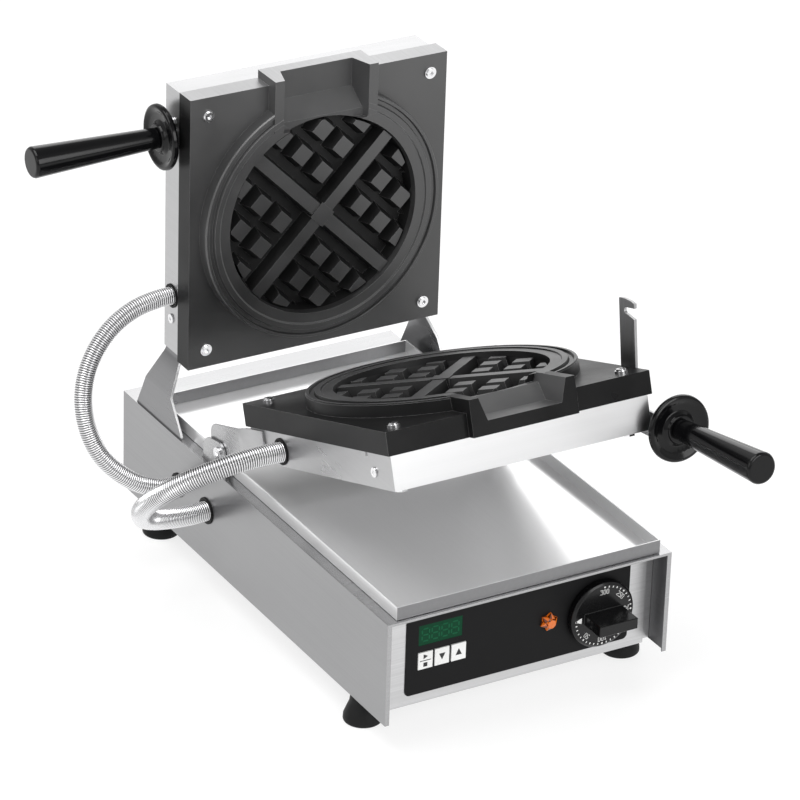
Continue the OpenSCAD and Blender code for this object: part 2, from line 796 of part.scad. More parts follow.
module base_grommets() {
    color(black) {
        translate([0, front_hose_y, hose_hole_z]) grommet(front_hose_d, -inner_x, -half_w);
        translate([0, rear_hose_y, hose_hole_z]) grommet(rear_hose_d, -inner_x, -half_w);
    }
}

module iron_grommet(d) {
    translate([0, side_hole_y, hose_z]) difference() {
        union() {
            rod_x(d / 2 + 1.6, -case_x - 1, -case_x + case_wall + 1.5);
            rod_x(d / 2 + 2.8, -case_x - 1, -case_x);
        }
        rod_x(d / 2 + hole_gap, -case_x - 5, -case_x + 9);
    }
}

module rear_conduit() { color([0.8, 0.8, 0.82]) hose(rear_route, rear_hose_d); }
module front_conduit() { color([0.8, 0.8, 0.82]) hose(front_route, front_hose_d); }

base_shell();
front_panel();
rear_panel();
floor_plate();
foot(-1, -1);  // foot_front_left
foot(1, -1);  // foot_front_right
foot(-1, 1);  // foot_rear_left
foot(1, 1);  // foot_rear_right
foot_screws();
control_label();
display_window();
timer_board();
key(0);  // start_key
key(1);  // down_key
key(2);  // up_key
indicator_lamp();
thermostat_knob();
thermostat_shaft();
thermostat_body();
terminal_block();
mains_gland();
drip_tray();
base_ear(-1);  // base_ear_left
base_ear(1);  // base_ear_right
hinge_bolt(-1);  // hinge_bolt_left
hinge_bolt(1);  // hinge_bolt_right
arm(-1);  // arm_left
arm(1);  // arm_right
rear_casing();
rear_iron() cast_plate();  // rear_plate
rear_iron() plate_screws();  // rear_plate_screws
rear_iron() heater();  // rear_heater
rear_iron() insulation();  // rear_insulation
rear_iron() side_screws();  // rear_side_screws
sensor_bulb();
rear_guard();
rear_grip();
rear_stud();
latch_pin();
front_casing();
front_iron() cast_plate();  // front_plate
front_iron() plate_screws();  // front_plate_screws
front_iron() heater();  // front_heater
front_iron() insulation();  // front_insulation
front_iron() side_screws();  // front_side_screws
front_ear(-1);  // front_ear_left
front_ear(1);  // front_ear_right
ear_bush(-1);  // ear_bush_left
ear_bush(1);  // ear_bush_right
latch_pivot();
latch_lever();
latch_guard();
latch_grip();
latch_stud();
base_grommets();
color(black) rear_iron() iron_grommet(rear_hose_d);  // iron_grommet_rear
color(black) front_iron() iron_grommet(front_hose_d);  // iron_grommet_front
rear_conduit();
front_conduit();
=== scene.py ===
import bpy, bmesh, json, math
from mathutils import Vector, Matrix


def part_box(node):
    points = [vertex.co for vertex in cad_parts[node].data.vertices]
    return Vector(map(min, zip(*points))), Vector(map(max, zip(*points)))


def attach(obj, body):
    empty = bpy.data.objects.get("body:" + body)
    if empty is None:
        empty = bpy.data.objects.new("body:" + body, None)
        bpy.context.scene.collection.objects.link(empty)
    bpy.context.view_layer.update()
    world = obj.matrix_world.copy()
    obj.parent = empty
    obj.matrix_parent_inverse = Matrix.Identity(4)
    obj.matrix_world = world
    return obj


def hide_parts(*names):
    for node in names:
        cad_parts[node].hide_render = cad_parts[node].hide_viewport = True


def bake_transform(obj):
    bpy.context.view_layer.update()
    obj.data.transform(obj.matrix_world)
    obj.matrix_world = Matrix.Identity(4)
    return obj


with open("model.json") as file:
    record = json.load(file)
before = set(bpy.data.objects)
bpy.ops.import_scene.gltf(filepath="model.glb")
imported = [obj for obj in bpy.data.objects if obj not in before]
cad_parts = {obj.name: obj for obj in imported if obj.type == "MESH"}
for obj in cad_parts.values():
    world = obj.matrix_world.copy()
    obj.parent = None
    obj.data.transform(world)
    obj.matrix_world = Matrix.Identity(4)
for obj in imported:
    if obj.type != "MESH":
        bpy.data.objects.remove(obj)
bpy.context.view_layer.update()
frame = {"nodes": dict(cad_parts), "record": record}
scene = bpy.context.scene
NODES, BODY = frame["nodes"], {n: b for b, ns in frame["record"]["behaviour"]["bodies"].items() for n in ns}

# ---------------------------------------------------------------- camera
CAM_RIGHT = Vector((0.86784, -0.49608, 0.02758))
CAM_UP = Vector((0.20051, 0.40049, 0.89409))
CAM_AHEAD = Vector((0.45458, 0.77040, -0.44703))
CAM_PLACE = Vector((-1.95808, -3.30129, 2.14449))
cam_data = bpy.data.cameras.new("camera")
cam = bpy.data.objects.new("camera", cam_data)
scene.collection.objects.link(cam)
m = Matrix((CAM_RIGHT, CAM_UP, -CAM_AHEAD)).transposed().to_4x4()
m.translation = CAM_PLACE
cam.matrix_world = m
cam_data.sensor_width = 36
cam_data.lens = 206.39
cam_data.shift_x = 0.02115
cam_data.shift_y = -0.02805
cam_data.clip_end = 60
scene.camera = cam

# ---------------------------------------------------------------- materials
def new_mat(name, color, metallic=0.0, rough=0.5, spec=0.5, coat=0.0, coat_rough=0.1):
    mt = bpy.data.materials.new(name)
    mt.use_nodes = True
    b = mt.node_tree.nodes["Principled BSDF"]
    b.inputs["Base Color"].default_value = (*color, 1)
    b.inputs["Metallic"].default_value = metallic
    b.inputs["Roughness"].default_value = rough
    b.inputs["Specular IOR Level"].default_value = spec
    b.inputs["Coat Weight"].default_value = coat
    b.inputs["Coat Roughness"].default_value = coat_rough
    mt.diffuse_color = (*color, 1)
    return mt, mt.node_tree, b


def add(nt, kind, **props):
    n = nt.nodes.new(kind)
    for k, v in props.items():
        setattr(n, k, v)
    return n


def coords(nt, scale):
    tc = add(nt, "ShaderNodeTexCoord")
    mp = add(nt, "ShaderNodeMapping")
    mp.inputs["Scale"].default_value = scale
    nt.links.new(tc.outputs["Object"], mp.inputs["Vector"])
    return mp.outputs["Vector"]


def noise(nt, scale, size=1.0, detail=3.0, rough=0.55):
    n = add(nt, "ShaderNodeTexNoise")
    n.inputs["Scale"].default_value = size
    n.inputs["Detail"].default_value = detail
    n.inputs["Roughness"].default_value = rough
    nt.links.new(coords(nt, scale), n.inputs["Vector"])
    return n.outputs["Fac"]


def span(nt, fac, lo, hi, a=0.3, b=0.7):
    n = add(nt, "ShaderNodeMapRange")
    n.inputs["From Min"].default_value = a
    n.inputs["From Max"].default_value = b
    n.inputs["To Min"].default_value = lo
    n.inputs["To Max"].default_value = hi
    nt.links.new(fac, n.inputs["Value"])
    return n.outputs["Result"]


def tint(nt, fac, c0, c1):
    n = add(nt, "ShaderNodeMix", data_type="RGBA")
    n.inputs["A"].default_value = (*c0, 1)
    n.inputs["B"].default_value = (*c1, 1)
    nt.links.new(fac, n.inputs["Factor"])
    return n.outputs["Result"]


def bump(nt, b, height, strength, distance):
    n = add(nt, "ShaderNodeBump")
    n.inputs["Strength"].default_value = strength
    n.inputs["Distance"].default_value = distance
    nt.links.new(height, n.inputs["Height"])
    nt.links.new(n.outputs["Normal"], b.inputs["Normal"])


def steel(name, color, rough, grain, streak=0.5, spread=0.08):
    """Brushed sheet: grain gives the scale along X, Y and Z, small along the brushing."""
    mt, nt, b = new_mat(name, color, 1.0, rough)
    fine = noise(nt, grain, 1.0, 4.0, 0.6)
    cloud = noise(nt, (5, 5, 5), 1.0, 3.0)
    mul = add(nt, "ShaderNodeMath", operation="MULTIPLY_ADD")
    mul.inputs[1].default_value = streak
    nt.links.new(fine, mul.inputs[0])
    nt.links.new(cloud, mul.inputs[2])
    r = span(nt, mul.outputs[0], rough - spread * 0.7, rough + spread, 0.5, 1.0)
    nt.links.new(r, b.inputs["Roughness"])
    c = tint(nt, span(nt, fine, 0, 1), [x * (1 - 0.2 * streak) for x in color],
             [min(1, x * (1 + 0.12 * streak)) for x in color])
    nt.links.new(c, b.inputs["Base Color"])
    bump(nt, b, fine, 0.2 * streak, 0.0002)
    return mt


def cast(name, dark, light, rough, grit=900, depth=0.00012, spec=0.5):
    """Coated casting: fine grit, cloudy sheen and a little rubbed colour."""
    mt, nt, b = new_mat(name, dark, 0.0, rough, spec=spec)
    g = noise(nt, (grit, grit, grit), 1.0, 2.0)
    cloud = noise(nt, (14, 14, 14), 1.0, 4.0)
    nt.links.new(span(nt, cloud, rough - 0.07, rough + 0.09), b.inputs["Roughness"])
    nt.links.new(tint(nt, span(nt, cloud, 0, 1), dark, light), b.inputs["Base Color"])
    bump(nt, b, g, 0.35, depth)
    return mt


def plastic(name, color, rough, coat=0.3, grit=0.0, spec=0.5):
    """Moulded or printed surface: cloudy gloss, and a fine grain where grit is given."""
    mt, nt, b = new_mat(name, color, 0.0, rough, spec=spec, coat=coat, coat_rough=0.08)
    cloud = noise(nt, (22, 22, 22), 1.0, 4.0)
    nt.links.new(span(nt, cloud, rough * 0.75, rough * 1.3), b.inputs["Roughness"])
    nt.links.new(tint(nt, cloud, [c * 0.85 for c in color], [min(1, c * 1.15) for c in color]),
                 b.inputs["Base Color"])
    if grit:
        bump(nt, b, noise(nt, (grit, grit, grit), 1.0, 2.0), 0.25, 0.0001)
    return mt


M = {
    # Painted light and shade: side, sheet and inner are lit and shaded copies of one steel, given to the
    # base's faces by their direction; inner is the darkest, for the insides of the side walls
    "side": steel("steel_side", (0.335, 0.335, 0.34), 0.34, (60, 3, 900), 0.3),
    "sheet": steel("steel_sheet", (0.42, 0.42, 0.425), 0.26, (3, 60, 900), 0.3),
    "inner": steel("steel_shaded", (0.16, 0.16, 0.165), 0.34, (60, 3, 900)),
    "panel": steel("steel_panel", (0.62, 0.62, 0.625), 0.34, (3, 60, 900)),
    # Painted light and shade: casing, flank and arm are lit and shaded copies of one steel, given by the
    # direction of each face; flank is darker for the sides of the casings and ears, and arm darker still for
    # the sides of the arms and the tray's front
    "casing": steel("steel_casing", (0.74, 0.74, 0.745), 0.30, (3, 300, 300), 0.12, spread=0.03),
    "shaded_flank": steel("steel_casing_shaded", (0.48, 0.48, 0.485), 0.30, (300, 3, 300), 0.2, spread=0.04),
    "arm": steel("steel_arm_dark_shade", (0.24, 0.24, 0.245), 0.30, (300, 3, 300), 0.2, spread=0.04),
    "tray": steel("steel_tray", (0.90, 0.90, 0.905), 0.20, (900, 4, 60), 0.08, spread=0.03),
    "bright": steel("bright_metal", (0.84, 0.84, 0.85), 0.14, (300, 300, 300), 0.3, spread=0.05),
    "conduit": steel("conduit_metal", (0.80, 0.80, 0.81), 0.26, (300, 300, 300), 0.3, spread=0.05),
    # Painted highlight: a lighter copy of the coating for the faces of the plates that look out
    "lit_face": cast("coated_iron_lit", (0.030, 0.030, 0.031), (0.055, 0.055, 0.056), 0.42, spec=0.8),
    # Painted shade: a near black copy of the coating for the plates' recesses
    "deep": cast("painted_recess_shade", (0.007, 0.007, 0.0072), (0.013, 0.013, 0.0132), 0.5, spec=0.3),
    # Wear and painted highlight: a lighter copy of the coating for the plates' rounded edges
    "edge": cast("coated_edge_wear_and_highlight", (0.100, 0.100, 0.101), (0.340, 0.340, 0.342), 0.32, spec=1.0),
    "lever": steel("lever_steel", (0.40, 0.40, 0.405), 0.36, (500, 500, 6)),
    "cast": cast("coated_iron", (0.010, 0.010, 0.0102), (0.048, 0.048, 0.0485), 0.36, spec=0.95),
    # Painted shade: a darker copy of the coated iron for the front plate and the plates' side flanks
    "shaded_cast": cast("coated_iron_shaded", (0.005, 0.005, 0.0052), (0.011, 0.011, 0.0113), 0.34, spec=0.14),
    # Painted reflection: a light grey steel for the rear plate's top faces
    "machined": steel("painted_top_reflection", (0.42, 0.42, 0.425), 0.42, (400, 8, 400)),
    "black": plastic("black_plastic", (0.003, 0.003, 0.0034), 0.14, 0.1, spec=0.22),
    "knob": plastic("knob_plastic", (0.003, 0.003, 0.0034), 0.22, 0.1, spec=0.3),
    "label": plastic("label_film", (0.009, 0.009, 0.0095), 0.42, 0.0, 700, spec=0.10),
    "key": plastic("key_plastic", (0.84, 0.84, 0.83), 0.38, 0.1, 900),
    "print_white": plastic("print_white", (0.80, 0.80, 0.79), 0.5, 0.0),
    "print_black": plastic("print_black", (0.010, 0.010, 0.011), 0.45, 0.0),
    "rubber": cast("foot_rubber", (0.006, 0.006, 0.006), (0.014, 0.014, 0.0145), 0.5, 700, spec=0.15),
    "display": plastic("display_lens", (0.004, 0.050, 0.022), 0.3, 0.0, spec=0.08),
    "board": cast("board_laminate", (0.02, 0.10, 0.04), (0.03, 0.14, 0.06), 0.5, 300),
    "moulded": cast("moulded_body", (0.45, 0.42, 0.36), (0.55, 0.52, 0.45), 0.55, 300),
    "bronze": steel("bronze_bush", (0.62, 0.45, 0.22), 0.3, (300, 300, 300)),
    "heater": steel("heater_sheath", (0.25, 0.23, 0.22), 0.45, (40, 40, 40)),
    "wool": cast("mineral_wool", (0.62, 0.58, 0.48), (0.75, 0.71, 0.6), 0.95, 400, 0.0006),
    "copper": steel("copper_bulb", (0.72, 0.42, 0.28), 0.3, (200, 200, 200)),
}
# The tray is satin steel, partly matt
M["tray"].node_tree.nodes["Principled BSDF"].inputs["Metallic"].default_value = 0.56

# Painted reflection: the upright plate's colour is darker towards its lower edge (0.20 m) than at its top
# (0.46 m)
nt = M["cast"].node_tree
b = nt.nodes["Principled BSDF"]
sep = add(nt, "ShaderNodeSeparateXYZ")
nt.links.new(coords(nt, (1, 1, 1)), sep.inputs[0])
painted_reflection_gradient = tint(nt, span(nt, sep.outputs["Z"], 0, 1, 0.20, 0.46),
            (0.004, 0.004, 0.0042), (0.062, 0.062, 0.063))
mix = add(nt, "ShaderNodeMix", data_type="RGBA")
mix.inputs["Factor"].default_value = 0.6
nt.links.new(b.inputs["Base Color"].links[0].from_socket, mix.inputs["A"])
nt.links.new(painted_reflection_gradient, mix.inputs["B"])
nt.links.new(mix.outputs["Result"], b.inputs["Base Color"])

# Painted shade and highlight: the conduit's grooves are painted dark and its crests bright
nt = M["conduit"].node_tree
b = nt.nodes["Principled BSDF"]
at = add(nt, "ShaderNodeAttribute", attribute_name="crest")
nt.links.new(tint(nt, span(nt, at.outputs["Fac"], 0, 1, 0.1, 0.85), (0.05, 0.05, 0.055), (0.86, 0.86, 0.87)),
             b.inputs["Base Color"])

glow, nt, b = new_mat("display_segment", (0.006, 0.085, 0.036), 0.0, 0.4, spec=0.1)
b.inputs["Emission Color"].default_value = (0.02, 0.42, 0.18, 1)
b.inputs["Emission Strength"].default_value = 0.03
nt.links.new(span(nt, noise(nt, (300, 300, 300)), 0.35, 0.5), b.inputs["Roughness"])
M["segment"] = glow
amber, nt, b = new_mat("amber_lens", (0.60, 0.13, 0.008), 0.0, 0.12, coat=0.4)
b.inputs["Emission Color"].default_value = (0.9, 0.18, 0.008, 1)
b.inputs["Emission Strength"].default_value = 0.24
b.inputs["Transmission Weight"].default_value = 0.2
nt.links.new(tint(nt, noise(nt, (180, 180, 180)), (0.36, 0.06, 0.004), (0.72, 0.18, 0.012)),
             b.inputs["Base Color"])
M["amber"] = amber
# Painted shade: a darker amber for every other facet of the lamp
amber_facet_shade, nt, b = new_mat("amber_shade", (0.10, 0.016, 0.002), 0.0, 0.14, coat=0.6)
nt.links.new(tint(nt, noise(nt, (220, 220, 220)), (0.03, 0.005, 0.001), (0.30, 0.055, 0.004)),
             b.inputs["Base Color"])


# ---------------------------------------------------------------- helpers
def obj_from(name, verts, faces, mat, body):
    me = bpy.data.meshes.new(name)
    me.from_pydata([tuple(v) for v in verts], [], faces)
    me.validate()
    me.materials.append(mat)
    o = bpy.data.objects.new(name, me)
    scene.collection.objects.link(o)
    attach(o, body)
    return o


def apply_mods(o):
    dg = bpy.context.evaluated_depsgraph_get()
    me = bpy.data.meshes.new_from_object(o.evaluated_get(dg))
    old = o.data
    o.modifiers.clear()
    o.data = me
    bpy.data.meshes.remove(old)


def softened(node, mat, width, seg=2, angle=32, pick=None, extra=(), rim=-1, flat=0.6):
    """A copy of a CAD node with its sharp edges rounded, standing for the node. pick maps a face to
    a material index, rim is the index on the rounded edges, and flat is the angle in degrees within
    which faces are merged first."""
    me = NODES[node].data.copy()
    o = bpy.data.objects.new(node + "_finished", me)
    scene.collection.objects.link(o)
    me.materials.clear()
    for k in (mat, *extra):
        me.materials.append(k)
    bm = bmesh.new()
    bm.from_mesh(me)
    bmesh.ops.remove_doubles(bm, verts=bm.verts, dist=2e-5)
    if flat:
        bmesh.ops.dissolve_limit(bm, angle_limit=math.radians(flat), verts=bm.verts, edges=bm.edges)
    bmesh.ops.recalc_face_normals(bm, faces=bm.faces)
    for f in bm.faces:
        f.material_index = pick(f) if pick else 0
        f.smooth = True
    for e in bm.edges:
        e.smooth = True
    clean = bpy.data.meshes.new(node + "_finished")
    bm.to_mesh(clean)
    bm.free()
    for k in (mat, *extra):
        clean.materials.append(k)
    o.data = clean
    bpy.data.meshes.remove(me)
    md = o.modifiers.new("round", "BEVEL")
    md.width = width
    md.segments = seg
    md.limit_method = "ANGLE"
    md.angle_limit = math.radians(angle)
    md.use_clamp_overlap = True
    md.miter_outer = "MITER_ARC"
    md.material = rim
    md.face_strength_mode = "FSTR_ALL"
    wn = o.modifiers.new("even", "WEIGHTED_NORMAL")
    wn.mode = "FACE_AREA"
    wn.weight = 100
    wn.keep_sharp = False
    wn.use_face_influence = True
    apply_mods(o)
    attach(o, BODY[node])
    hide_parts(node)
    return o


def paint(node, mat):
    o = NODES[node]
    if not o.material_slots:
        o.data.materials.append(mat)
    for s in o.material_slots:
        s.material = mat


# ---------------------------------------------------------------- conduits
PITCH = 0.0022      # from ring to ring
REAR_D, FRONT_D = 0.018, 0.020


def catmull(p, n):
    """A smooth curve in metres through points in millimetres, n steps to a span."""
    pts = [Vector(a) * 0.001 for a in p]
    ext = [pts[0] * 2 - pts[1]] + pts + [pts[-1] * 2 - pts[-2]]
    out = []
    for i in range(1, len(ext) - 2):
        a, b_, c, d = ext[i - 1:i + 3]
        for k in range(n):
            t = k / n
            out.append(0.5 * (2 * b_ + (c - a) * t + (2 * a - 5 * b_ + 4 * c - d) * t * t
                              + (3 * b_ - a - 3 * c + d) * t ** 3))
    out.append(pts[-1])
    return out


def resample(pts, step):
    """Points about a step apart along a curve, and its length."""
    d = [0.0]
    for a, b_ in zip(pts, pts[1:]):
        d.append(d[-1] + (b_ - a).length)
    n = max(2, round(d[-1] / step))
    out, j = [], 0
    for i in range(n + 1):
        s = d[-1] * i / n
        while j < len(d) - 2 and d[j + 1] < s:
            j += 1
        f = (s - d[j]) / max(1e-9, d[j + 1] - d[j])
        out.append(pts[j].lerp(pts[j + 1], f))
    return out, d[-1]


def corrugated(name, route, diameter):
    """A ringed tube along a route in millimetres, with the crest of each ring marked for its material, which
    paints shade into the grooves and a highlight on the crests.
    """
    per, sides = 7, 28
    pts, length = resample(catmull(route, 24), PITCH / per)
    t0 = (pts[1] - pts[0]).normalized()
    u = t0.cross(Vector((0.3, 1, 0.2))).normalized()
    verts, faces, shade, last = [], [], [], None
    for i, p in enumerate(pts):
        t = (pts[min(i + 1, len(pts) - 1)] - pts[max(i - 1, 0)]).normalized()
        if last is not None:
            u = last.rotation_difference(t) @ u
        last = t
        v = t.cross(u)
        for k in range(sides):
            a = 2 * math.pi * k / sides
            ph = 2 * math.pi * i / per
            w = (0.5 + 0.5 * math.sin(ph)) ** 0.55
            verts.append(p + (u * math.cos(a) + v * math.sin(a)) * (diameter / 2 * (0.865 + 0.125 * w)))
            shade.append(w)
    for i in range(len(pts) - 1):
        for k in range(sides):
            a, b_ = i * sides + k, i * sides + (k + 1) % sides
            faces.append((a, b_, b_ + sides, a + sides))
    n = len(pts) - 1
    faces.append(tuple(reversed(range(sides))))
    faces.append(tuple(n * sides + k for k in range(sides)))
    me = bpy.data.meshes.new(name)
    me.from_pydata([tuple(v) for v in verts], [], faces)
    me.materials.append(M["conduit"])
    # crest runs from 0 in the grooves to 1 on the crests, for the painted shade and highlight
    crest = me.attributes.new("crest", "FLOAT", "POINT")
    crest.data.foreach_set("value", shade)
    for p in me.polygons:
        p.use_smooth = len(p.vertices) == 4
    o = bpy.data.objects.new(name, me)
    scene.collection.objects.link(o)
    return o, pts, length


REAR_ROUTE = [(-131, 190, 259), (-152, 190, 258), (-176, 189, 253), (-199, 187, 241),
              (-218, 183, 223), (-231, 178, 201), (-237, 172, 177), (-236, 165, 152),
              (-228, 158, 128), (-213, 152, 108), (-193, 147, 92), (-170, 144, 83),
              (-146, 143, 81)]
FRONT_ROUTE = [(-146, 85, 81), (-168, 84, 81), (-192, 80, 85), (-214, 72, 93),
               (-230, 59, 105), (-240, 44, 121), (-242, 27, 138), (-237, 10, 154),
               (-225, -5, 169), (-207, -17, 181), (-184, -26, 190), (-158, -30, 194),
               (-131, -31, 194)]
rear_hose, rear_pts, rear_len = corrugated("rear_hose", REAR_ROUTE, REAR_D)
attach(rear_hose, "base")
front_hose, front_pts, front_len = corrugated("front_hose", FRONT_ROUTE, FRONT_D)
for o, node, pts, length, d in ((rear_hose, "rear_conduit", rear_pts, rear_len, REAR_D),
                                (front_hose, "front_conduit", front_pts, front_len, FRONT_D)):
    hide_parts(node)
    tuple(pts[0])
    [tuple(p) for p in pts]
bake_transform(front_hose)
print("conduit lengths", round(rear_len, 4), round(front_len, 4))

# ---------------------------------------------------------------- CAD nodes
PAINT = {
    "side": ["rear_panel"],
    "sheet": ["floor_plate"],
    "bright": ["foot_screws", "thermostat_shaft", "rear_stud", "latch_stud", "latch_pin", "latch_pivot"],
    "board": ["timer_board"],
    "moulded": ["thermostat_body", "terminal_block"],
    "bronze": ["ear_bush_left", "ear_bush_right"],
    "heater": ["rear_heater", "front_heater"],
    "wool": ["rear_insulation", "front_insulation"],
    "copper": ["sensor_bulb"],
    "rubber": ["base_grommets", "iron_grommet_rear", "iron_grommet_front", "mains_gland"],
    "display": ["display_window"],
}
for k, names in PAINT.items():
    for n in names:
        paint(n, M[k])

# Each cast plate: middle of the ring, direction out of its face and direction along it to the spout
FACES = {"rear_plate": (Vector((0, 0.149, 0.337)), Vector((0, -1, 0)), Vector((0, 0, 1))),
         "front_plate": (Vector((0, 0.0402 - 0.9455 * 0.139, 0.2129 + 0.3256 * 0.139)),
                         Vector((0, 0.3256, 0.9455)), Vector((0, -0.9455, 0.3256)))}


# Slots for the plates' painted light and shade: recesses, lit faces, top, rounded edges (also wear) and side
# flanks
RECESS_SHADE, LIT_FACE, TOP_REFLECTION, EDGE_WEAR_AND_HIGHLIGHT, SHADED_FLANK = range(1, 6)
CAVITY_R, RING_R, RING_H = 0.099, 0.128, 0.0125


def plate_face(name):
    """Sorts a plate's faces into recesses and flanks in painted shade, spout ledge and ring in painted
    highlight, top in painted reflection, and the rest.
    """
    mid, out, along = FACES[name]

    def pick(f):
        c, n = f.calc_center_median() - mid, f.normal
        h, v, r, o = c.dot(out), c.dot(along), math.hypot(c.x, c.dot(along)), n.dot(out)
        if r < CAVITY_R and (h < -0.0045 or (abs(o) < 0.93 and h < RING_H)):
            return RECESS_SHADE
        # The front plate's ring, ribs and stud tops take the lighter copy as painted highlight
        if name == "front_plate" and r < RING_R and o > 0.9 and h > -0.0045:
            return LIT_FACE
        in_spout = v > 0.096 and abs(c.x) < 0.0475 and -0.0135 < h < 0.0115
        if in_spout and o > 0.25 and n.dot(along) > -0.2:
            return LIT_FACE
        # The rear plate's top faces take the light grey as painted reflection
        if name == "rear_plate" and n.dot(along) > 0.93 and v > 0.13:
            return TOP_REFLECTION
        # Side flanks take the darker copy of the coated iron as painted shade
        if abs(n.x) > 0.9 and abs(c.x) > 0.13:
            return SHADED_FLANK
        return 0
    return pick


# The front plate takes the darker copy of the coated iron as painted shade
for n, k in (("rear_plate", "cast"), ("front_plate", "shaded_cast")):
    softened(n, M[k], 0.0008, 2, 20, plate_face(n),
             (M["deep"], M["lit_face"], M["machined"], M["edge"], M["shaded_cast"]), rim=EDGE_WEAR_AND_HIGHLIGHT, flat=0)


def flank_face(f):
    """1 for faces towards the sides, 2 for faces that look up; these take darker copies of the steel as
    painted shade.
    """
    return 1 if abs(f.normal.x) > 0.7 else 2 if f.normal.z > 0.7 else 0


for n in ("rear_casing", "front_casing"):
    softened(n, M["casing"], 0.0012, 2, pick=flank_face, extra=(M["shaded_flank"], M["sheet"]))


def shell_face(f):
    """0 for the outsides of the side walls, 2 for their insides, 1 for the rest; the insides take the darkest
    copy of the steel as painted shade.
    """
    n, c = f.normal, f.calc_center_median()
    if abs(n.x) > 0.7:
        return 0 if abs(c.x) > 0.1495 else 2
    return 1


softened("base_shell", M["side"], 0.0009, 2, pick=shell_face, extra=(M["sheet"], M["inner"]))
softened("front_panel", M["panel"], 0.0006, 2)
# Painted reflection: the tray's front faces take the dark arm steel instead of the tray steel
softened("drip_tray", M["tray"], 0.0006, 2, pick=lambda f: int(f.normal.y < -0.5), extra=(M["arm"],))
for n in ("base_ear_left", "base_ear_right", "front_ear_left", "front_ear_right"):
    softened(n, M["casing"], 0.0005, 2, pick=flank_face, extra=(M["shaded_flank"], M["sheet"]))
# The arms' side faces take the darker arm copy of the steel as painted shade
for n in ("arm_left", "arm_right"):
    softened(n, M["casing"], 0.0005, 2, pick=flank_face, extra=(M["arm"], M["sheet"]))
for n in ("hinge_bolt_left", "hinge_bolt_right", "rear_plate_screws", "front_plate_screws",
          "rear_side_screws", "front_side_screws"):
    softened(n, M["bright"], 0.0004, 2)
softened("latch_lever", M["lever"], 0.0004, 2)
for n in ("rear_guard", "rear_grip", "latch_guard", "latch_grip"):
    softened(n, M["black"], 0.0008, 3)
for n in ("foot_front_left", "foot_front_right", "foot_rear_left", "foot_rear_right"):
    softened(n, M["rubber"], 0.0006, 2)
softened("control_label", M["label"], 0.0002, 1, flat=0)
for n in ("start_key", "down_key", "up_key"):
    softened(n, M["key"], 0.0005, 2)
softened("thermostat_knob", M["knob"], 0.0009, 3)

# ---------------------------------------------------------------- printed marks
PRINT = 0.00012     # thickness of a print


def outward(o):
    bm = bmesh.new()
    bm.from_mesh(o.data)
    bmesh.ops.recalc_face_normals(bm, faces=bm.faces)
    bm.to_mesh(o.data)
    bm.free()


def flat_shape(name, outline, place, mat, body):
    """A thin raised print. outline is in the plane of a control; place maps (a, b, height) to the
    row frame."""
    n = len(outline)
    verts = [place(a, c, 0) for a, c in outline] + [place(a, c, PRINT) for a, c in outline]
    faces = [tuple(range(n)), tuple(reversed(range(n, 2 * n)))]
    faces += [(i, i + n, (i + 1) % n + n, (i + 1) % n) for i in range(n)]
    o = obj_from(name, verts, faces, mat, body)
    outward(o)
    return o


def join(objs, name, body):
    bpy.ops.object.select_all(action="DESELECT")
    for o in objs:
        o.parent = None
        o.select_set(True)
    bpy.context.view_layer.objects.active = objs[0]
    if len(objs) > 1:
        bpy.ops.object.join()
    o = bpy.context.object
    o.name = name
    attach(o, body)
    return o


DIGIT = {  # strokes of plain figures on a 2 x 4 grid
    "0": [((0, 0), (2, 0), (2, 4), (0, 4), (0, 0))],
    "1": [((0.4, 3.2), (1.2, 4), (1.2, 0))],
    "2": [((0, 4), (2, 4), (2, 2.2), (0, 0.6), (0, 0), (2, 0))],
    "3": [((0, 4), (2, 4), (1, 2.3), (2, 1.8), (2, 0), (0, 0))],
    "5": [((2, 4), (0, 4), (0, 2.3), (2, 2.3), (2, 0), (0, 0))],
}


def figure_strokes(text, height, width):
    """Quads, as lists of four points, that draw a number centred on the origin."""
    k = height / 4
    step = 3.1 * k
    x0 = -step * (len(text) - 1) / 2 - k
    quads = []
    for i, ch in enumerate(text):
        for line in DIGIT[ch]:
            for p, q in zip(line, line[1:]):
                a = Vector((x0 + i * step + p[0] * k, (p[1] - 2) * k))
                c = Vector((x0 + i * step + q[0] * k, (q[1] - 2) * k))
                d = (c - a).normalized() * width / 2
                s = Vector((-d.y, d.x))
                quads.append([a - d + s, a - d - s, c + d - s, c + d + s])
    return quads


knob_lo, knob_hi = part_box("thermostat_knob")
KX, KZ = (knob_lo.x + knob_hi.x) / 2, (knob_lo.z + knob_hi.z) / 2
KR = (knob_hi.x - knob_lo.x) / 2
SKIRT_Y = knob_hi.y - 0.009


def on_dial(a, c, h):
    return (KX + a, SKIRT_Y - h, KZ + c)


